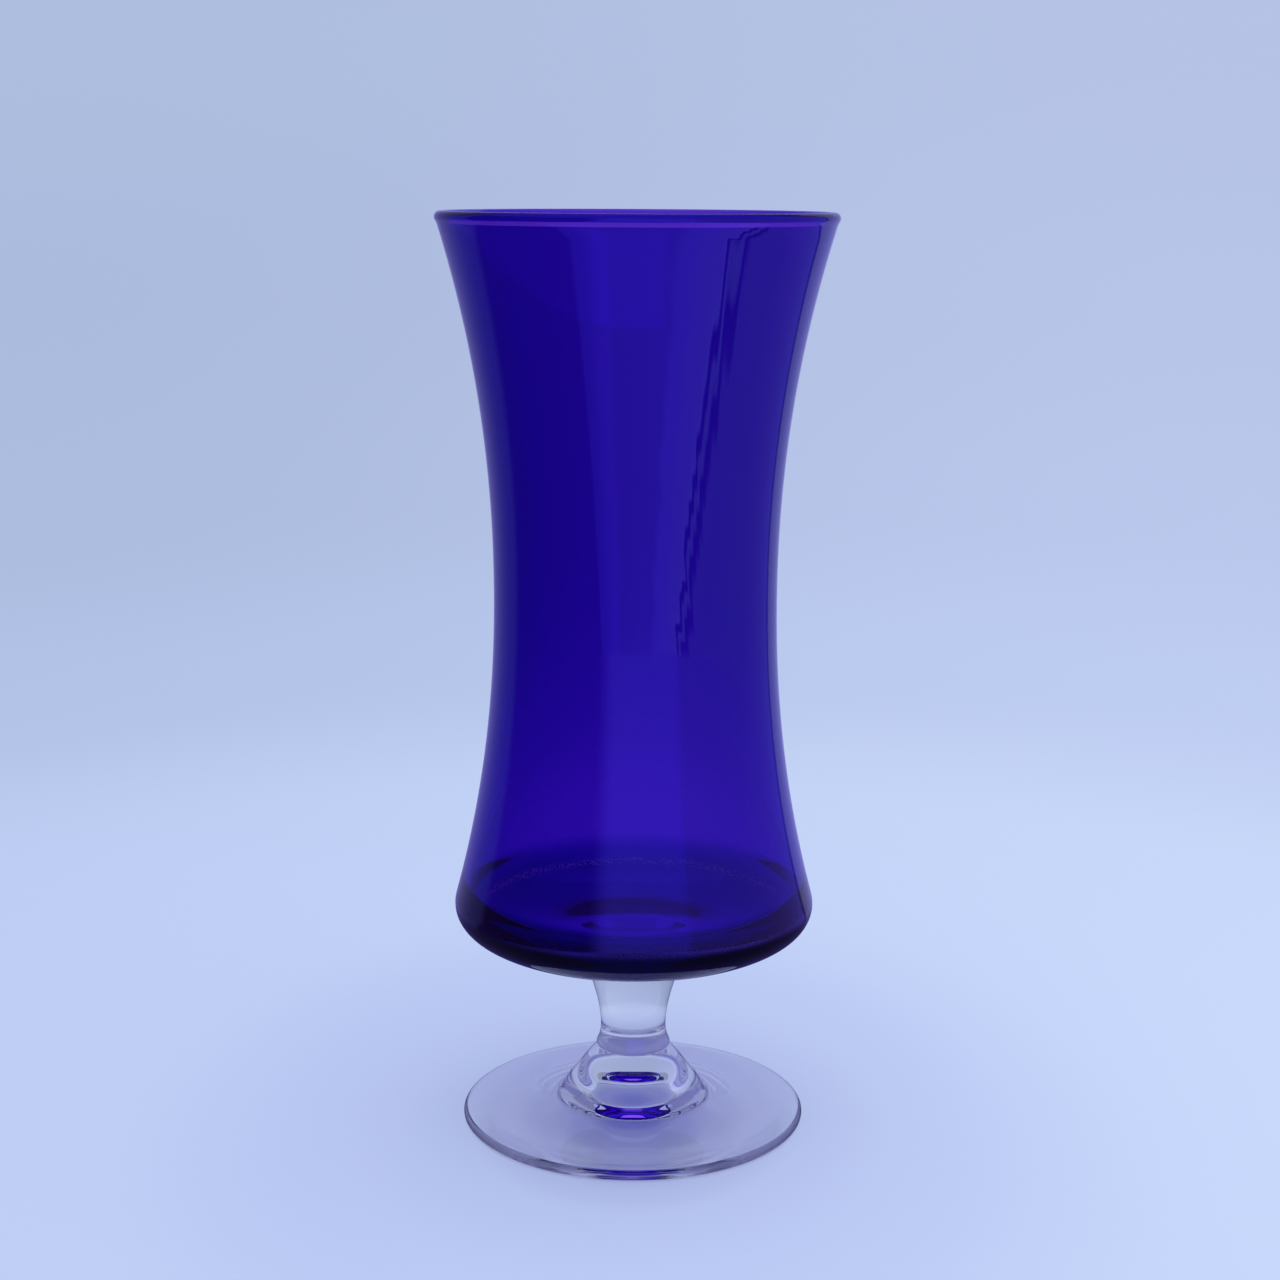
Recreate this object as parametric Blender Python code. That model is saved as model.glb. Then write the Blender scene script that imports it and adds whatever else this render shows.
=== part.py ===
"""Footed vase in hot-joined glass: a cobalt bowl, a short clear stem and a clear disc foot.

Blender 4.5, metres, +Z up. The origin is the middle of the ring that the foot rests on, and +Z is
the axis that every piece is turned about. Each piece is one gather of glass and one closed solid.
The pieces were joined hot, so nothing moves; JOIN_GAP keeps the solids apart where they meet.
"""
import math

import bmesh
import bpy
from mathutils import Vector

SEGMENTS = 64
JOIN_GAP = 0.0003
SAME_POINT = 0.000001
CREASE_ANGLE = math.radians(40)

HEIGHT = 0.250

# Each ..._PULLS pair holds the two inner control points of one curve, as (radius, height).

# Bowl, outside: it narrows from the mouth to a waist and widens again to a rounded heel.
MOUTH_RADIUS = 0.0534
WAIST_RADIUS = 0.0382
WAIST_Z = 0.1486
HEEL_RADIUS = 0.0491
HEEL_TOP_Z = 0.0647
FLARE_POWER = 2.09
BASE_FLAT_RADIUS = 0.0228
BOWL_BASE_Z = 0.0503
HEEL_PULL = 0.0072
BASE_PULL = 0.0222

# Bowl, inside: the wall thins below the waist, and the dished floor is thinnest in its middle.
UPPER_WALL = 0.0032
LOWER_WALL = 0.0025
THINNING_Z = 0.0800
INNER_HEEL_TOP_Z = 0.0700
FLOOR_Z = 0.0528
FLOOR_FLAT_RADIUS = 0.0100
INNER_HEEL_PULL = 0.0080
FLOOR_PULL = 0.0270

# Lip: a fire-polished bead, met by the wall at BEAD_END below the level of the bead's middle.
BEAD_RADIUS = 0.0016
BEAD_END = math.radians(-38)
LIP_RADIUS = 0.0531

# Stem: a flared top under the bowl, a neck, and a small collar just above the seam with the foot.
STEM_TOP_RADIUS = 0.0150
STEM_TOP_PULLS = ((0.0123, 0.0405), (0.00905, 0.0334))
NECK_RADIUS = 0.00905
NECK_Z = 0.0262
NECK_PULLS = ((0.00905, 0.0232), (0.0099, 0.0220))
COLLAR_RADIUS = 0.0102
COLLAR_Z = 0.0212
COLLAR_PULLS = ((0.0104, 0.0206), (0.0101, 0.0202))
SEAM_RADIUS = 0.0100
SEAM_Z = 0.0200

# Foot, on top: a conical hub, a tight fillet and a thin disc with a rounded edge.
HUB_PULLS = ((0.0124, 0.0178), (0.0150, 0.0141))
HUB_RADIUS = 0.0180
HUB_BASE_Z = 0.0105
FILLET_PULLS = ((0.0202, 0.0079), (0.0203, 0.0058))
DISC_ROOT_RADIUS = 0.0227
DISC_ROOT_Z = 0.0056
DISC_PULLS = ((0.0307, 0.0049), (0.0382, 0.0034))
FOOT_RADIUS = 0.0476
FOOT_EDGE_HEIGHT = 0.0028
EDGE_ARC = (math.radians(70), math.radians(-70))

# Foot, underneath: a rest ring, a shallow hollow, a gentle skirt and a steep domed kick-up.
REST_RING_OUTER = 0.0462
REST_RING_INNER = 0.0405
KICK_TOP_Z = 0.0113
KICK_TOP_PULLS = ((0.0066, 0.0113), (0.0088, 0.0103))
KICK_FLANK = (0.0099, 0.00824)
KICK_SIDE_PULLS = ((0.0116, 0.0049), (0.0115, 0.0051))
KICK_SKIRT = (0.01415, 0.00463)
HOLLOW_PULLS = ((0.0216, 0.0033), (0.0285, 0.0003))


def bezier(start, pulls, end, steps):
    """Points along a cubic curve of (radius, height) pairs, without its first point."""
    corners = [Vector(corner) for corner in (start, *pulls, end)]
    points = []
    for step in range(1, steps + 1):
        t = step / steps
        s = 1.0 - t
        weights = (s ** 3, 3 * s * s * t, 3 * s * t * t, t ** 3)
        points.append(sum((c * w for c, w in zip(corners, weights)), Vector((0.0, 0.0))))
    return points


def arc(centre, radius, start_angle, end_angle, steps):
    """Points round an arc in the (radius, height) plane, with both of its ends."""
    points = []
    for step in range(steps + 1):
        angle = start_angle + (end_angle - start_angle) * step / steps
        points.append(Vector(centre) + radius * Vector((math.cos(angle), math.sin(angle))))
    return points


def spaced(first, last, steps):
    """Evenly spaced values from first to last, with both of them."""
    return [first + (last - first) * step / steps for step in range(steps + 1)]


def wall_radius(z):
    """Outer radius of the bowl's wall at height z, between its heel and its lip."""
    if z >= WAIST_Z:
        reach = (z - WAIST_Z) / (HEIGHT - WAIST_Z)
        return WAIST_RADIUS + (MOUTH_RADIUS - WAIST_RADIUS) * reach ** FLARE_POWER
    reach = (WAIST_Z - z) / (WAIST_Z - HEEL_TOP_Z)
    return WAIST_RADIUS + (HEEL_RADIUS - WAIST_RADIUS) * reach ** FLARE_POWER


def down_the_wall(z):
    """Unit step down the wall at height z below the waist."""
    reach = (WAIST_Z - z) / (WAIST_Z - HEEL_TOP_Z)
    steepest = FLARE_POWER * (HEEL_RADIUS - WAIST_RADIUS) / (WAIST_Z - HEEL_TOP_Z)
    return Vector((steepest * reach ** (FLARE_POWER - 1), -1.0)).normalized()


def inner_radius(z):
    """Radius of the bowl's inside at height z, above its inner heel."""
    rise = min(1.0, max(0.0, (z - THINNING_Z) / (WAIST_Z - THINNING_Z)))
    eased = rise * rise * (3.0 - 2.0 * rise)
    return wall_radius(z) - LOWER_WALL - (UPPER_WALL - LOWER_WALL) * eased


def underside():
    """From the rest ring's inner edge, in under the foot and up to the top of the kick-up."""
    top = (0.0, KICK_TOP_Z)
    outline = [Vector(top)]
    outline += bezier(top, KICK_TOP_PULLS, KICK_FLANK, 7)
    outline += bezier(KICK_FLANK, KICK_SIDE_PULLS, KICK_SKIRT, 7)
    outline += bezier(KICK_SKIRT, HOLLOW_PULLS, (REST_RING_INNER, 0.0), 7)
    outline.reverse()
    return outline


def bowl_outline():
    """From the middle of the floor, up the inside, over the lip and down the outside."""
    bead_centre = (LIP_RADIUS - BEAD_RADIUS, HEIGHT - BEAD_RADIUS)
    wall_top_z = HEIGHT - 2 * BEAD_RADIUS

    floor_end = (FLOOR_FLAT_RADIUS, FLOOR_Z)
    inner_heel = Vector((inner_radius(INNER_HEEL_TOP_Z), INNER_HEEL_TOP_Z))
    inner_pull = inner_heel + INNER_HEEL_PULL * down_the_wall(INNER_HEEL_TOP_Z)
    outline = [Vector((0.0, FLOOR_Z)), Vector(floor_end)]
    outline += bezier(floor_end, ((FLOOR_FLAT_RADIUS + FLOOR_PULL, FLOOR_Z), inner_pull), inner_heel, 9)
    outline += [Vector((inner_radius(z), z)) for z in spaced(INNER_HEEL_TOP_Z, wall_top_z, 14)[1:]]
    outline += arc(bead_centre, BEAD_RADIUS, math.pi, BEAD_END, 7)
    outline += [Vector((wall_radius(z), z)) for z in spaced(wall_top_z, HEEL_TOP_Z, 14)]

    heel = Vector((HEEL_RADIUS, HEEL_TOP_Z))
    heel_pull = heel + HEEL_PULL * down_the_wall(HEEL_TOP_Z)
    base_end = (BASE_FLAT_RADIUS, BOWL_BASE_Z)
    outline += bezier(heel, (heel_pull, (BASE_FLAT_RADIUS + BASE_PULL, BOWL_BASE_Z)), base_end, 9)
    outline.append(Vector((0.0, BOWL_BASE_Z)))
    return outline


def stem_outline():
    """From the middle of the top, down the side, to the middle of the seam with the foot."""
    top = (STEM_TOP_RADIUS, BOWL_BASE_Z - JOIN_GAP)
    neck = (NECK_RADIUS, NECK_Z)
    collar = (COLLAR_RADIUS, COLLAR_Z)
    seam = (SEAM_RADIUS, SEAM_Z)
    outline = [Vector((0.0, top[1])), Vector(top)]
    outline += bezier(top, STEM_TOP_PULLS, neck, 9)
    outline += bezier(neck, NECK_PULLS, collar, 5)
    outline += bezier(collar, COLLAR_PULLS, seam, 3)
    outline.append(Vector((0.0, SEAM_Z)))
    return outline


def foot_outline():
    """From the middle of the seam, down the hub, over the disc and back under to the kick-up."""
    seam = (SEAM_RADIUS, SEAM_Z - JOIN_GAP)
    hub = (HUB_RADIUS, HUB_BASE_Z)
    disc_root = (DISC_ROOT_RADIUS, DISC_ROOT_Z)
    edge_radius = FOOT_EDGE_HEIGHT / 2
    edge_centre = (FOOT_RADIUS - edge_radius, edge_radius)

    outline = [Vector((0.0, seam[1])), Vector(seam)]
    outline += bezier(seam, HUB_PULLS, hub, 6)
    outline += bezier(hub, FILLET_PULLS, disc_root, 5)
    outline += bezier(disc_root, DISC_PULLS, (edge_centre[0], FOOT_EDGE_HEIGHT), 7)
    outline += arc(edge_centre, edge_radius, *EDGE_ARC, 5)
    outline.append(Vector((REST_RING_OUTER, 0.0)))
    outline += underside()
    return outline


def glass(name, colour, roughness):
    """A see-through glass that isn't metallic."""
    material = bpy.data.materials.new(name)
    material.use_nodes = True
    shader = material.node_tree.nodes["Principled BSDF"]
    shader.inputs["Base Color"].default_value = (*colour, 1.0)
    shader.inputs["Roughness"].default_value = roughness
    shader.inputs["Metallic"].default_value = 0.0
    shader.inputs["Transmission Weight"].default_value = 1.0
    shader.inputs["IOR"].default_value = 1.52
    return material


def turned(name, outline, material):
    """One closed solid turned about +Z from an outline that starts and ends on the axis."""
    shape = bmesh.new()
    points = [shape.verts.new((point.x, 0.0, point.y)) for point in outline]
    edges = [shape.edges.new(pair) for pair in zip(points, points[1:])]
    bmesh.ops.spin(
        shape,
        geom=points + edges,
        axis=(0.0, 0.0, 1.0),
        cent=(0.0, 0.0, 0.0),
        steps=SEGMENTS,
        angle=math.tau,
        use_merge=True,
    )
    bmesh.ops.remove_doubles(shape, verts=shape.verts, dist=SAME_POINT)
    bmesh.ops.recalc_face_normals(shape, faces=shape.faces)

    mesh = bpy.data.meshes.new(name)
    shape.to_mesh(mesh)
    shape.free()
    mesh.shade_smooth()
    mesh.set_sharp_from_angle(angle=CREASE_ANGLE)
    mesh.materials.append(material)
    piece = bpy.data.objects.new(name, mesh)
    bpy.context.scene.collection.objects.link(piece)


def main():
    for old in list(bpy.data.objects):
        bpy.data.objects.remove(old)
    cobalt_glass = glass("cobalt_glass", (0.035, 0.012, 0.42), 0.02)
    clear_glass = glass("clear_glass", (0.93, 0.95, 0.97), 0.02)
    turned("bowl", bowl_outline(), cobalt_glass)
    turned("stem", stem_outline(), clear_glass)
    turned("foot", foot_outline(), clear_glass)


main()
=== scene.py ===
"""Looks of the footed vase: fine glass surfaces, their materials, a pale paper sweep and soft light."""

import math

import bpy
import numpy as np
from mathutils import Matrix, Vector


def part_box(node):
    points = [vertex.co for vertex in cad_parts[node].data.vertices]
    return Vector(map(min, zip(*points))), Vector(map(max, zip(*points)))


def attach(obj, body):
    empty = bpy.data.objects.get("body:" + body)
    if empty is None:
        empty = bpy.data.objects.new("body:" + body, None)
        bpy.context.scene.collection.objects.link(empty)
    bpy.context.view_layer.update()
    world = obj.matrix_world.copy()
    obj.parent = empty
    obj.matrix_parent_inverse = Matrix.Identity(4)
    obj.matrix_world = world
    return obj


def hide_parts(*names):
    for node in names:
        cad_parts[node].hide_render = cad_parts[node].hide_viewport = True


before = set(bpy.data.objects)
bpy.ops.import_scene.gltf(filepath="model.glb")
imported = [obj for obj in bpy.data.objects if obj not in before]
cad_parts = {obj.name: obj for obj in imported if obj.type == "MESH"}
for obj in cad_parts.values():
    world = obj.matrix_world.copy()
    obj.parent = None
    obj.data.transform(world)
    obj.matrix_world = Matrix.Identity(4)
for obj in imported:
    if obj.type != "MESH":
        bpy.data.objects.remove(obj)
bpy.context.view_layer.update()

# Sizes read from the CAD pieces, in metres.
BOWL_LOW, BOWL_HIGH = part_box("bowl")
STEM_LOW, STEM_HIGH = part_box("stem")
FOOT_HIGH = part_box("foot")[1]
HEIGHT = BOWL_HIGH.z
LIP_RADIUS = BOWL_HIGH.x
BOWL_BASE_Z = BOWL_LOW.z
STEM_TOP_RADIUS = STEM_HIGH.x
SEAM_Z = STEM_LOW.z
FOOT_RADIUS = FOOT_HIGH.x

# A pull is the step from one end of a curve to the control point next to it. Each ..._PULLS pair
# holds the pulls at the curve's start and at its end, as (radius, height).

# Outline of the bowl, as in the CAD model.
MOUTH_RADIUS = 0.0534
WAIST_RADIUS = 0.0382
WAIST_Z = 0.1486
HEEL_RADIUS = 0.0491
HEEL_TOP_Z = 0.0647
FLARE_POWER = 2.09
BASE_FLAT_RADIUS = 0.0228
HEEL_PULL = 0.0072
BASE_PULL = 0.0222
UPPER_WALL = 0.0032
LOWER_WALL = 0.0025
THINNING_Z = 0.0800
INNER_HEEL_TOP_Z = 0.0700
FLOOR_Z = 0.0528
FLOOR_FLAT_RADIUS = 0.0100
INNER_HEEL_PULL = 0.0080
FLOOR_PULL = 0.0270
BEAD_RADIUS = 0.0016
BEAD_END = math.radians(-38)

# Outline of the stem and the foot, as in the CAD model.
STEM_TOP_PULLS = ((-0.0027, -0.009632), (0.0, 0.007224))
NECK_RADIUS = 0.00905
NECK_Z = 0.0262
NECK_PULLS = ((0.0, -0.0030), (-0.0003, 0.0008))
COLLAR_RADIUS = 0.0102
COLLAR_Z = 0.0212
COLLAR_PULLS = ((0.0002, -0.0006), (0.0001, 0.0002))
SEAM_RADIUS = 0.0100
HUB_PULLS = ((0.0024, -0.0022), (-0.0030, 0.0036))
HUB_RADIUS = 0.0180
HUB_BASE_Z = 0.0105
FILLET_PULLS = ((0.0022, -0.0026), (-0.0024, 0.0002))
DISC_ROOT_RADIUS = 0.0227
DISC_ROOT_Z = 0.0056
DISC_PULLS = ((0.0080, -0.0007), (-0.0080, 0.0006))
FOOT_EDGE_HEIGHT = 0.0028
EDGE_ARC = (math.radians(84), math.radians(-76))
REST_RING_OUTER = 0.0462
REST_RING_INNER = 0.0405
KICK_TOP_Z = 0.0113
KICK_TOP_PULLS = ((0.0066, 0.0), (-0.0011, 0.00206))
KICK_FLANK = (0.0099, 0.00824)
KICK_SIDE_PULLS = ((0.0017, -0.00334), (-0.00265, 0.00047))
KICK_SKIRT = (0.01415, 0.00463)
HOLLOW_PULLS = ((0.00745, -0.00133), (-0.0120, 0.0003))

# The fused joins: a slit far too thin to see, between level faces at which light isn't bent.
SEAM_SLIT = 0.00002
LEVEL_NORMAL = 0.999
SEGMENTS = 256
CREASE_ANGLE = math.radians(30)

# Glass: the share of red, green and blue that it absorbs, how strongly it absorbs per metre, and
# its slow waves as (noise scale, height in metres).
GLASS_IOR = 1.52
COBALT_ABSORBS = (0.57, 1.0, 0.16)
COBALT_DENSITY = 1100.0
COBALT_WAVES = (18.0, 0.0004)
CLEAR_ABSORBS = (0.55, 0.60, 0.38)
CLEAR_DENSITY = 13.0
CLEAR_WAVES = (30.0, 0.0002)
WAVE_STRETCH = (1.0, 1.0, 0.35)

# The faint film on the glass: its noise between two values gives its roughness between two others.
FILM_SCALE = 45.0
FILM_DETAIL = 4.0
FILM_NOISE = (0.45, 0.75)
FILM_ROUGHNESS = (0.0, 0.015)

# The ring of fine specks on the heel: its radii and heights, each from clear to full.
SPECK_INNER = (0.0404, 0.0420)
SPECK_OUTER = (0.0432, 0.0422)
SPECK_TOP = (0.0640, 0.0630)
SPECK_BASE = (0.0570, 0.0580)
SPECK_SCALE = 1500.0
SPECK_GRAIN = (0.50, 0.60)
SPECK_COVER = 0.85

# The paper sweep: its outline, and the painted light that it glows with, by distance along it at the
# left and at the right: painted shade makes it darker at the left and further along it.
SWEEP_FLAT = 0.42
SWEEP_BEND = 0.50
SWEEP_TOP = 0.62
FLOOR_DROP = 0.0001
MATT_SHARE = 0.35
MATT_FADE = (0.16, 0.42)
SIDE_FADE = (-0.35, 0.35)
PAPER_GLOW_LEFT = [
    (0.330, (0.509, 0.604, 0.888)), (0.555, (0.445, 0.540, 0.800)), (0.780, (0.415, 0.503, 0.735)),
    (1.005, (0.408, 0.495, 0.724)), (1.230, (0.423, 0.515, 0.738)),
]
PAPER_GLOW_RIGHT = [
    (0.330, (0.578, 0.686, 0.947)), (0.555, (0.515, 0.610, 0.885)), (0.780, (0.485, 0.573, 0.835)),
    (1.005, (0.474, 0.558, 0.812)), (1.230, (0.462, 0.539, 0.783)),
]
# Matt colour of the paper near the vase, with painted shade that makes it darker at the left.
PAPER_MATT_SHADED = [(-0.25, (0.66, 0.71, 0.87)), (0.25, (0.74, 0.79, 0.91))]

# Painted shadow: the vase's violet shade on the paper, by distance from its middle: an oval a little
# wider than deep.
POOL_SCALE = (1.2, 0.9)
POOL_SHIFT = 0.008
SHADOW_POOL_TINTS = [
    (0.000, (0.18, 0.17, 0.55)), (0.008, (0.24, 0.23, 0.60)), (0.016, (0.45, 0.41, 0.71)),
    (0.030, (0.62, 0.58, 0.77)), (0.042, (0.76, 0.73, 0.87)), (0.055, (0.84, 0.83, 0.94)),
    (0.100, (0.90, 0.89, 0.97)), (0.180, (1.0, 1.0, 1.0)),
]

# The mirrored room, a glowing painted reflection that only the glass's reflections see: its size, and
# the light that it sends from each side.
ROOM_RADIUS = 0.91
ROOM_TOP = 0.90
ROOM_TOP_HOLE = 0.001
WALL_FADE = (0.0, 0.004)
CEILING_FADE = (ROOM_TOP - 0.004, ROOM_TOP - 0.001)
BEHIND = (0.33, 0.35, 0.85)
DIM_SIDE = (0.060, 0.020, 0.300)
# Painted shade on the mirrored floor under the bowl.
SHADE_UNDER_BOWL = (0.05, 0.04, 0.20)
WINDOW = (0.28, 0.17, 2.60)
RIGHT_SIDE = (0.24, 0.14, 1.25)
CEILING = (0.10, 0.10, 0.75)

# Light by bearing in degrees: 0 is towards the camera, and positive bearings turn towards +X.
ROOM_BEARINGS = [
    (-180, BEHIND), (-150, (0.22, 0.20, 0.65)), (-112, (0.12, 0.10, 0.60)), (-104, DIM_SIDE),
    (-30, DIM_SIDE), (-14, WINDOW), (32, WINDOW), (36, RIGHT_SIDE), (100, RIGHT_SIDE),
    (129, (0.20, 0.15, 1.20)), (131, (0.05, 0.03, 0.30)), (134, (0.33, 0.32, 0.95)), (180, BEHIND),
]

# Light across the table paper in front of the vase: 0 is its left edge and 1 its right edge.
TABLE_STRIPES = [
    (-0.03, DIM_SIDE), (0.00, DIM_SIDE), (0.04, (0.14, 0.08, 1.60)), (0.21, (0.26, 0.12, 2.60)),
    (0.27, (0.20, 0.12, 1.60)), (0.60, (0.23, 0.13, 1.90)), (0.66, (0.32, 0.20, 2.90)),
    (0.90, (0.36, 0.25, 2.40)), (0.925, (0.40, 0.32, 2.30)), (0.945, (0.06, 0.02, 0.30)),
    (0.965, (0.07, 0.03, 0.40)), (0.985, (0.30, 0.26, 1.40)), (1.010, (0.28, 0.22, 1.20)),
    (1.035, (0.07, 0.03, 0.40)), (1.065, (0.08, 0.04, 0.50)), (1.12, (0.26, 0.17, 1.15)),
    (1.25, (0.24, 0.16, 1.20)),
]
TABLE_LEFT = -0.213
TABLE_LEFT_SLANT = 0.242
TABLE_RIGHT = 0.293
TABLE_RIGHT_SLANT = -0.20
TABLE_RIPPLE = 0.170
RIPPLE_SCALE = 16.0
TABLE_FRONT = (0.05, -0.08)
SHADE_FADE = (0.28, 0.12)

# Lights and camera.
WORLD_COLOUR = (0.30, 0.34, 0.48)
SOFTBOX_PLACE = (0.10, -0.10, 1.20)
SOFTBOX_SIDE = 1.5
SOFTBOX_WATTS = 13.0
SOFTBOX_COLOUR = (0.82, 0.90, 1.0)
CAMERA_PLACE = (0.0013, -0.6044, 0.2573)
CAMERA_LENS = 63.91
CAMERA_SENSOR = 36.0
CAMERA_NEAR = 0.01
CAMERA_PITCH = math.radians(11.38)
CAMERA_ROLL = math.radians(0.32)


# ---------------------------------------------------------------- outlines

def bezier(start, pulls, end, steps):
    """Points along a cubic curve, without its first point."""
    start, end = np.array(start), np.array(end)
    t = np.linspace(0.0, 1.0, steps + 1)[1:, None]
    s = 1.0 - t
    return list(s ** 3 * start + 3 * s * s * t * (start + pulls[0])
                + 3 * s * t * t * (end + pulls[1]) + t ** 3 * end)


def arc(centre, radius, start_angle, end_angle, steps):
    """Points round an arc, with both of its ends."""
    angles = np.linspace(start_angle, end_angle, steps + 1)
    return [np.array(centre) + radius * np.array((math.cos(a), math.sin(a))) for a in angles]


def straight(start, end, steps):
    """Evenly spaced points on a straight line, with both of its ends."""
    return list(np.linspace(start, end, steps + 1))


def down_a_wall(radius_at, first_z, last_z, steps):
    """Points at evenly spaced heights, with both ends, where radius_at gives the radius at a height."""
    return [np.array((radius_at(z), z)) for z in np.linspace(first_z, last_z, steps + 1)]


def wall_radius(z):
    """Outer radius of the bowl's wall at height z."""
    if z >= WAIST_Z:
        reach = (z - WAIST_Z) / (HEIGHT - WAIST_Z)
        return WAIST_RADIUS + (MOUTH_RADIUS - WAIST_RADIUS) * reach ** FLARE_POWER
    reach = (WAIST_Z - z) / (WAIST_Z - HEEL_TOP_Z)
    return WAIST_RADIUS + (HEEL_RADIUS - WAIST_RADIUS) * reach ** FLARE_POWER


def down_the_wall(z):
    """Unit step down the wall at height z below the waist."""
    reach = (WAIST_Z - z) / (WAIST_Z - HEEL_TOP_Z)
    steepest = FLARE_POWER * (HEEL_RADIUS - WAIST_RADIUS) / (WAIST_Z - HEEL_TOP_Z)
    step = np.array((steepest * reach ** (FLARE_POWER - 1), -1.0))
    return step / np.linalg.norm(step)


def inner_radius(z):
    """Radius of the bowl's inside at height z, above its inner heel."""
    rise = min(1.0, max(0.0, (z - THINNING_Z) / (WAIST_Z - THINNING_Z)))
    return wall_radius(z) - LOWER_WALL - (UPPER_WALL - LOWER_WALL) * rise * rise * (3 - 2 * rise)


def bowl_outline():
    """From the middle of the floor, up the inside, over the lip and down the outside."""
    bead_centre = (LIP_RADIUS - BEAD_RADIUS, HEIGHT - BEAD_RADIUS)
    wall_top_z = HEIGHT - 2 * BEAD_RADIUS

    floor_end = (FLOOR_FLAT_RADIUS, FLOOR_Z)
    inner_heel = (inner_radius(INNER_HEEL_TOP_Z), INNER_HEEL_TOP_Z)
    floor_pulls = ((FLOOR_PULL, 0.0), INNER_HEEL_PULL * down_the_wall(INNER_HEEL_TOP_Z))
    outline = straight((0.0, FLOOR_Z), floor_end, steps=6)
    outline += bezier(floor_end, floor_pulls, inner_heel, steps=28)
    outline += down_a_wall(inner_radius, INNER_HEEL_TOP_Z, wall_top_z, steps=59)[1:]
    outline += arc(bead_centre, BEAD_RADIUS, math.pi, BEAD_END, steps=22)
    outline += down_a_wall(wall_radius, wall_top_z, HEEL_TOP_Z, steps=61)

    base_end = (BASE_FLAT_RADIUS, BOWL_BASE_Z)
    join_edge = (STEM_TOP_RADIUS, BOWL_BASE_Z)
    heel_pulls = (HEEL_PULL * down_the_wall(HEEL_TOP_Z), (BASE_PULL, 0.0))
    outline += bezier((HEEL_RADIUS, HEEL_TOP_Z), heel_pulls, base_end, steps=32)
    outline += straight(base_end, join_edge, steps=3)[1:]
    outline += straight(join_edge, (0.0, BOWL_BASE_Z), steps=4)[1:]
    return outline


def stem_outline():
    """From the middle of the top, down the side, to the middle of the seam with the foot."""
    top = (STEM_TOP_RADIUS, BOWL_BASE_Z - SEAM_SLIT)
    neck = (NECK_RADIUS, NECK_Z)
    collar = (COLLAR_RADIUS, COLLAR_Z)
    seam = (SEAM_RADIUS, SEAM_Z)
    outline = straight((0.0, top[1]), top, steps=4)
    outline += bezier(top, STEM_TOP_PULLS, neck, steps=40)
    outline += bezier(neck, NECK_PULLS, collar, steps=16)
    outline += bezier(collar, COLLAR_PULLS, seam, steps=8)
    outline += straight(seam, (0.0, SEAM_Z), steps=4)[1:]
    return outline


def underside():
    """From the rest ring's inner edge, in under the foot and up to the top of the kick-up."""
    top = (0.0, KICK_TOP_Z)
    outline = [np.array(top)]
    outline += bezier(top, KICK_TOP_PULLS, KICK_FLANK, steps=24)
    outline += bezier(KICK_FLANK, KICK_SIDE_PULLS, KICK_SKIRT, steps=24)
    outline += bezier(KICK_SKIRT, HOLLOW_PULLS, (REST_RING_INNER, 0.0), steps=30)
    return outline[::-1]


def foot_outline():
    """From the middle of the seam, down the hub, over the disc and back under to the kick-up."""
    seam = (SEAM_RADIUS, SEAM_Z - SEAM_SLIT)
    hub = (HUB_RADIUS, HUB_BASE_Z)
    disc_root = (DISC_ROOT_RADIUS, DISC_ROOT_Z)
    edge_radius = FOOT_EDGE_HEIGHT / 2
    edge_centre = (FOOT_RADIUS - edge_radius, edge_radius)
    outline = straight((0.0, seam[1]), seam, steps=4)
    outline += bezier(seam, HUB_PULLS, hub, steps=28)
    outline += bezier(hub, FILLET_PULLS, disc_root, steps=16)
    outline += bezier(disc_root, DISC_PULLS, (edge_centre[0], FOOT_EDGE_HEIGHT), steps=40)
    outline += arc(edge_centre, edge_radius, *EDGE_ARC, steps=24)
    outline += straight((REST_RING_OUTER, 0.0), (REST_RING_INNER, 0.0), steps=7)
    outline += underside()[1:]
    return outline


# ---------------------------------------------------------------- turned meshes

def turned(name, outline, closed):
    """An outline turned about +Z. It starts on the axis, and a closed one also ends there."""
    points = np.array(outline)
    rings = points[1:-1] if closed else points[1:]
    angles = np.arange(SEGMENTS) * math.tau / SEGMENTS
    verts = [(0.0, 0.0, points[0, 1])]
    for r, z in rings:
        verts += [(r * math.cos(a), r * math.sin(a), z) for a in angles]

    pairs = [(k, (k + 1) % SEGMENTS) for k in range(SEGMENTS)]
    faces = [(0, 1 + k, 1 + after) for k, after in pairs]
    for ring in range(len(rings) - 1):
        here = 1 + ring * SEGMENTS
        below = here + SEGMENTS
        faces += [(here + k, below + k, below + after, here + after) for k, after in pairs]
    if closed:
        last_ring = 1 + (len(rings) - 1) * SEGMENTS
        middle = len(verts)
        verts.append((0.0, 0.0, points[-1, 1]))
        faces += [(middle, last_ring + after, last_ring + k) for k, after in pairs]

    mesh = bpy.data.meshes.new(name)
    mesh.from_pydata(verts, [], faces)
    mesh.shade_smooth()
    thing = bpy.data.objects.new(name, mesh)
    bpy.context.scene.collection.objects.link(thing)
    return thing


def glass_piece(name, outline, joins):
    """A closed piece of glass. Its level faces at each (height, radius) join are marked as joined."""
    piece = turned(name, outline, closed=True)
    mesh = piece.data
    marks = np.zeros(len(mesh.polygons), np.float32)
    for number, polygon in enumerate(mesh.polygons):
        centre = polygon.center
        level = abs(polygon.normal.z) > LEVEL_NORMAL
        radius = math.hypot(centre.x, centre.y)
        for z, reach in joins:
            if level and radius < reach and abs(centre.z - z) < 2 * SEAM_SLIT:
                marks[number] = 1.0
    joined = mesh.attributes.new("joined", "FLOAT", "FACE")
    joined.data.foreach_set("value", marks)
    mesh.set_sharp_from_angle(angle=CREASE_ANGLE)
    return piece


# ---------------------------------------------------------------- nodes

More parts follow.
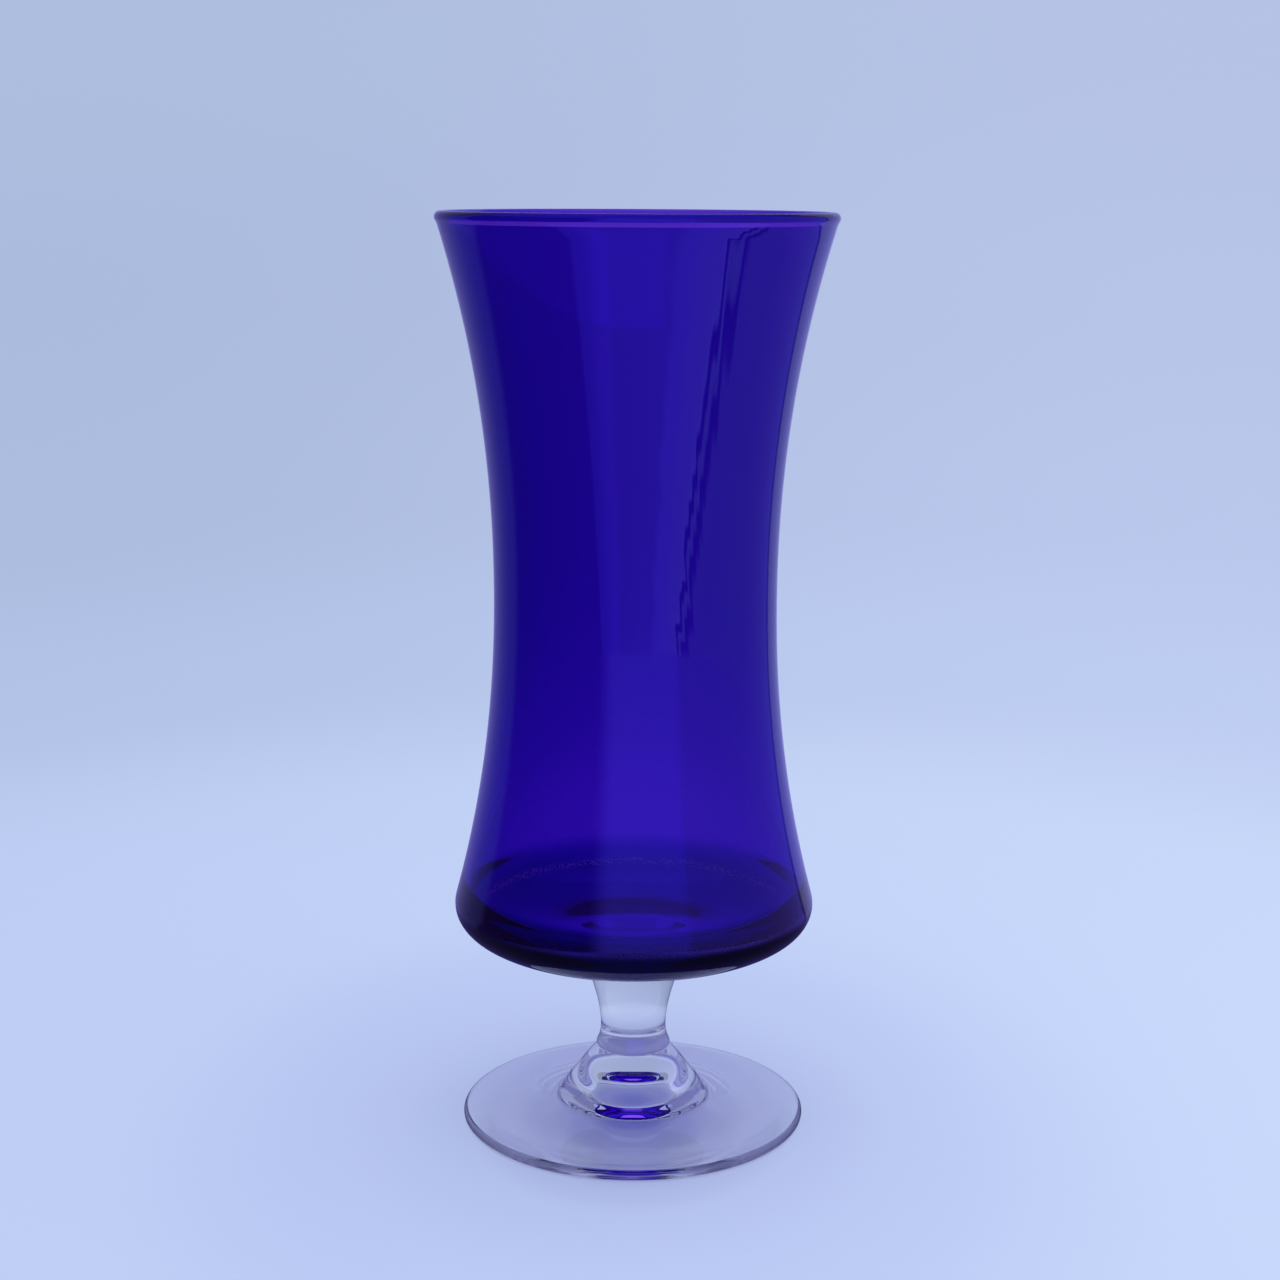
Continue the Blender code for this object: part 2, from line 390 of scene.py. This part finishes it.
def new_material(name):
    """An empty node material: its node tree and its output node."""
    material = bpy.data.materials.new(name)
    material.use_nodes = True
    tree = material.node_tree
    tree.nodes.clear()
    return material, tree, tree.nodes.new("ShaderNodeOutputMaterial")


def feed(tree, socket, value):
    """Sets an input to a number or a colour, or links another node's output to it."""
    if isinstance(value, bpy.types.NodeSocket):
        tree.links.new(value, socket)
    elif isinstance(value, tuple):
        socket.default_value = (*value, 1.0)
    else:
        socket.default_value = value


def math_node(tree, operation, *values):
    """The output of a Math node whose inputs are sockets or numbers."""
    node = tree.nodes.new("ShaderNodeMath")
    node.operation = operation
    for socket, value in zip(node.inputs, values):
        feed(tree, socket, value)
    return node.outputs[0]


def distance(tree, x, y):
    """The length of a step of x and y."""
    squares = [math_node(tree, "MULTIPLY", axis, axis) for axis in (x, y)]
    return math_node(tree, "SQRT", math_node(tree, "ADD", *squares))


def remap(tree, source, ends, results=(0.0, 1.0), smooth=False):
    """A value that goes from the first result to the second as the source goes between the ends."""
    node = tree.nodes.new("ShaderNodeMapRange")
    if smooth:
        node.interpolation_type = "SMOOTHSTEP"
    values = (source, *ends, *results)
    for name, value in zip(("Value", "From Min", "From Max", "To Min", "To Max"), values):
        feed(tree, node.inputs[name], value)
    return node.outputs["Result"]


def fade(tree, source, ends):
    """A soft step from 0 to 1 as the source goes between the ends."""
    return remap(tree, source, ends, smooth=True)


def ramp(tree, source, stops):
    """Colours that follow a socket's value through (value, colour) stops, lowest value first."""
    low, high = stops[0][0], stops[-1][0]
    node = tree.nodes.new("ShaderNodeValToRGB")
    node.color_ramp.interpolation = "EASE"
    node.color_ramp.elements.remove(node.color_ramp.elements[1])
    for number, (value, colour) in enumerate(stops):
        place = (value - low) / (high - low)
        stop = node.color_ramp.elements.new(place) if number else node.color_ramp.elements[0]
        stop.position = place
        stop.color = (*colour, 1.0)
    tree.links.new(remap(tree, source, (low, high)), node.inputs["Fac"])
    return node.outputs["Color"]


def mix(tree, factor, first, second, kind="MIX"):
    """Two colours, each a socket or a plain colour, mixed by a factor."""
    node = tree.nodes.new("ShaderNodeMix")
    node.data_type = "RGBA"
    node.blend_type = kind
    feed(tree, node.inputs["Factor"], factor)
    feed(tree, node.inputs["A"], first)
    feed(tree, node.inputs["B"], second)
    return node.outputs["Result"]


def noise(tree, place, scale, detail=1.0):
    """Noise from 0 to 1 at a place in metres."""
    node = tree.nodes.new("ShaderNodeTexNoise")
    node.inputs["Scale"].default_value = scale
    node.inputs["Detail"].default_value = detail
    tree.links.new(place, node.inputs["Vector"])
    return node.outputs["Fac"]


def position(tree):
    """The surface point in metres, then its X, Y and Z."""
    place = tree.nodes.new("ShaderNodeTexCoord").outputs["Object"]
    axes = tree.nodes.new("ShaderNodeSeparateXYZ")
    tree.links.new(place, axes.inputs["Vector"])
    return place, *axes.outputs


# ---------------------------------------------------------------- glass

def heel_specks(tree, place, x, y, z):
    """A ring of fine specks where the heel of the bowl has been rubbed."""
    radius = distance(tree, x, y)
    specks = fade(tree, noise(tree, place, SPECK_SCALE), SPECK_GRAIN)
    for source, ends in ((radius, SPECK_INNER), (radius, SPECK_OUTER), (z, SPECK_TOP), (z, SPECK_BASE)):
        specks = math_node(tree, "MULTIPLY", specks, fade(tree, source, ends))
    return specks


def glass(name, absorbed, density, wave_scale, wave_height):
    """Glass whose colour comes from its depth, with a faint film, slow waves and specks on the heel."""
    material, tree, output = new_material(name)
    place, x, y, z = position(tree)
    shader = tree.nodes.new("ShaderNodeBsdfPrincipled")
    shader.inputs["Base Color"].default_value = (1.0, 1.0, 1.0, 1.0)
    tree.links.new(shader.outputs["BSDF"], output.inputs["Surface"])

    joined = tree.nodes.new("ShaderNodeAttribute")
    joined.attribute_name = "joined"
    feed(tree, shader.inputs["IOR"], remap(tree, joined.outputs["Fac"], (0.0, 1.0), (GLASS_IOR, 1.0)))

    film = noise(tree, place, FILM_SCALE, FILM_DETAIL)
    feed(tree, shader.inputs["Roughness"], remap(tree, film, FILM_NOISE, FILM_ROUGHNESS))

    stretch = tree.nodes.new("ShaderNodeMapping")
    stretch.inputs["Scale"].default_value = WAVE_STRETCH
    tree.links.new(place, stretch.inputs["Vector"])
    waves = tree.nodes.new("ShaderNodeBump")
    waves.inputs["Strength"].default_value = 1.0
    waves.inputs["Distance"].default_value = wave_height
    tree.links.new(noise(tree, stretch.outputs["Vector"], wave_scale), waves.inputs["Height"])
    tree.links.new(waves.outputs["Normal"], shader.inputs["Normal"])

    specks = heel_specks(tree, place, x, y, z)
    clearness = math_node(tree, "MULTIPLY_ADD", specks, -SPECK_COVER, 1.0)
    tree.links.new(clearness, shader.inputs["Transmission Weight"])

    depth = tree.nodes.new("ShaderNodeVolumeAbsorption")
    depth.inputs["Color"].default_value = (*(1.0 - share for share in absorbed), 1.0)
    depth.inputs["Density"].default_value = density
    tree.links.new(depth.outputs["Volume"], output.inputs["Volume"])
    return material


# ---------------------------------------------------------------- stage

def sweep():
    """A round paper sweep: a level floor that bends up into a wall on all sides."""
    side_radius = SWEEP_FLAT + SWEEP_BEND
    bend_centre = (SWEEP_FLAT, SWEEP_BEND - FLOOR_DROP)
    outline = straight((0.0, -FLOOR_DROP), (SWEEP_FLAT, -FLOOR_DROP), steps=23)
    outline += arc(bend_centre, SWEEP_BEND, -math.pi / 2, 0.0, steps=40)[1:]
    outline += straight((side_radius, SWEEP_BEND), (side_radius, SWEEP_TOP), steps=4)[1:]
    paper = turned("paper_sweep", outline, closed=False)

    material, tree, output = new_material("pale_paper")
    x, y, z = position(tree)[1:]
    radius = distance(tree, x, y)
    along = math_node(tree, "ADD", radius, z)
    # Painted light: the paper glows, darker at the left and further along the sweep, where less of the
    # soft light falls.
    left, right = (ramp(tree, along, stops) for stops in (PAPER_GLOW_LEFT, PAPER_GLOW_RIGHT))
    paper_painted_light = mix(tree, fade(tree, x, SIDE_FADE), left, right)

    pool_x = math_node(tree, "MULTIPLY", x, POOL_SCALE[0])
    pool_y = math_node(tree, "MULTIPLY", math_node(tree, "ADD", y, POOL_SHIFT), POOL_SCALE[1])
    shadow_pool = ramp(tree, distance(tree, pool_x, pool_y), SHADOW_POOL_TINTS)
    glow = tree.nodes.new("ShaderNodeEmission")
    # Painted shadow: the paper's glow is darkened and tinted violet under and around the vase.
    tree.links.new(mix(tree, 1.0, paper_painted_light, shadow_pool, "MULTIPLY"), glow.inputs["Color"])
    matt = tree.nodes.new("ShaderNodeBsdfDiffuse")
    tree.links.new(ramp(tree, x, PAPER_MATT_SHADED), matt.inputs["Color"])

    shares = tree.nodes.new("ShaderNodeMixShader")
    far = fade(tree, radius, MATT_FADE)
    glow_share = math_node(tree, "MULTIPLY_ADD", far, MATT_SHARE, 1.0 - MATT_SHARE)
    tree.links.new(glow_share, shares.inputs["Fac"])
    tree.links.new(matt.outputs["BSDF"], shares.inputs[1])
    tree.links.new(glow.outputs["Emission"], shares.inputs[2])
    tree.links.new(shares.outputs["Shader"], output.inputs["Surface"])
    paper.data.materials.append(material)
    paper.visible_glossy = False


def table_light(tree, x, y):
    """The painted reflection of the table: stripes of painted light and shade across its paper, whose
    right edge is wavy.
    """
    ripple = tree.nodes.new("ShaderNodeTexNoise")
    ripple.noise_dimensions = "1D"
    ripple.inputs["Scale"].default_value = RIPPLE_SCALE
    ripple.inputs["Detail"].default_value = 1.0
    tree.links.new(y, ripple.inputs["W"])
    left = math_node(tree, "MULTIPLY_ADD", y, TABLE_LEFT_SLANT, TABLE_LEFT)
    right = math_node(tree, "MULTIPLY_ADD", y, TABLE_RIGHT_SLANT, TABLE_RIGHT)
    right = math_node(tree, "MULTIPLY_ADD", ripple.outputs["Fac"], TABLE_RIPPLE, right)
    width = math_node(tree, "SUBTRACT", right, left)
    across = math_node(tree, "DIVIDE", math_node(tree, "SUBTRACT", x, left), width)
    return ramp(tree, across, TABLE_STRIPES)


def mirrored_room():
    """Painted reflections: a glowing room that only the outer surface of the glass shows, by mirroring
    it: paper, a window, a dim side.
    """
    top_edge = (ROOM_RADIUS, ROOM_TOP)
    outline = straight((0.0, -FLOOR_DROP), (ROOM_RADIUS, -FLOOR_DROP), steps=5)
    outline += straight((ROOM_RADIUS, 0.0), top_edge, steps=3)[1:]
    outline += straight(top_edge, (ROOM_TOP_HOLE, ROOM_TOP), steps=3)[1:]
    room = turned("mirrored_room", outline, closed=False)

    material, tree, output = new_material("mirrored_room")
    x, y, z = position(tree)[1:]
    bearing = math_node(tree, "ARCTAN2", x, math_node(tree, "MULTIPLY", y, -1.0))
    around = ramp(tree, math_node(tree, "MULTIPLY", bearing, math.degrees(1.0)), ROOM_BEARINGS)
    floor = mix(tree, fade(tree, y, TABLE_FRONT), around, table_light(tree, x, y))
    # Painted shade: the mirrored floor darkens under the bowl.
    floor = mix(tree, fade(tree, distance(tree, x, y), SHADE_FADE), floor, SHADE_UNDER_BOWL)
    walls = mix(tree, fade(tree, z, CEILING_FADE), around, CEILING)
    glow = tree.nodes.new("ShaderNodeEmission")
    tree.links.new(mix(tree, fade(tree, z, WALL_FADE), floor, walls), glow.inputs["Color"])
    tree.links.new(glow.outputs["Emission"], output.inputs["Surface"])
    material.cycles.emission_sampling = "NONE"
    room.data.materials.append(material)
    room.visible_camera = False
    room.visible_diffuse = False
    room.visible_transmission = False
    room.visible_volume_scatter = False
    room.visible_shadow = False


def lights():
    """A dim room and one broad soft light overhead."""
    world = bpy.data.worlds.new("dim_room")
    bpy.context.scene.world = world
    world.use_nodes = True
    world.node_tree.nodes["Background"].inputs["Color"].default_value = (*WORLD_COLOUR, 1.0)
    data = bpy.data.lights.new("overhead_softbox", "AREA")
    data.shape = "RECTANGLE"
    data.size = SOFTBOX_SIDE
    data.size_y = SOFTBOX_SIDE
    data.energy = SOFTBOX_WATTS
    data.color = SOFTBOX_COLOUR
    softbox = bpy.data.objects.new("overhead_softbox", data)
    softbox.location = SOFTBOX_PLACE
    bpy.context.scene.collection.objects.link(softbox)


def camera():
    """The photograph's view: a little above the lip, looking down."""
    data = bpy.data.cameras.new("camera")
    data.lens = CAMERA_LENS
    data.sensor_width = CAMERA_SENSOR
    data.clip_start = CAMERA_NEAR
    shooter = bpy.data.objects.new("camera", data)
    shooter.location = CAMERA_PLACE
    shooter.rotation_mode = "XYZ"
    shooter.rotation_euler = (math.pi / 2 - CAMERA_PITCH, 0.0, 0.0)
    shooter.rotation_euler.rotate_axis("Z", CAMERA_ROLL)
    bpy.context.scene.collection.objects.link(shooter)
    bpy.context.scene.camera = shooter


def main():
    scene = bpy.context.scene
    scene.view_settings.view_transform = "Standard"
    scene.cycles.max_bounces = 32
    scene.cycles.transmission_bounces = 32
    scene.cycles.glossy_bounces = 16
    camera()
    lights()
    sweep()
    mirrored_room()

    cobalt = glass("cobalt_glass", COBALT_ABSORBS, COBALT_DENSITY, *COBALT_WAVES)
    clear = glass("clear_glass", CLEAR_ABSORBS, CLEAR_DENSITY, *CLEAR_WAVES)
    bowl_base = (BOWL_BASE_Z, STEM_TOP_RADIUS)
    stem_top = (BOWL_BASE_Z - SEAM_SLIT, STEM_TOP_RADIUS)
    stem_end = (SEAM_Z, SEAM_RADIUS)
    foot_top = (SEAM_Z - SEAM_SLIT, SEAM_RADIUS)
    bowl = glass_piece("cobalt_bowl", bowl_outline(), [bowl_base])
    stem = glass_piece("clear_stem", stem_outline(), [stem_top, stem_end])
    foot = glass_piece("clear_foot", foot_outline(), [foot_top])
    for piece, node, slot, material in (
        (bowl, "bowl", "cobalt_glass", cobalt),
        (stem, "stem", "clear_glass", clear),
        (foot, "foot", "clear_glass", clear),
    ):
        piece.data.materials.append(material)
        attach(piece, "root")
        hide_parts(node)


main()
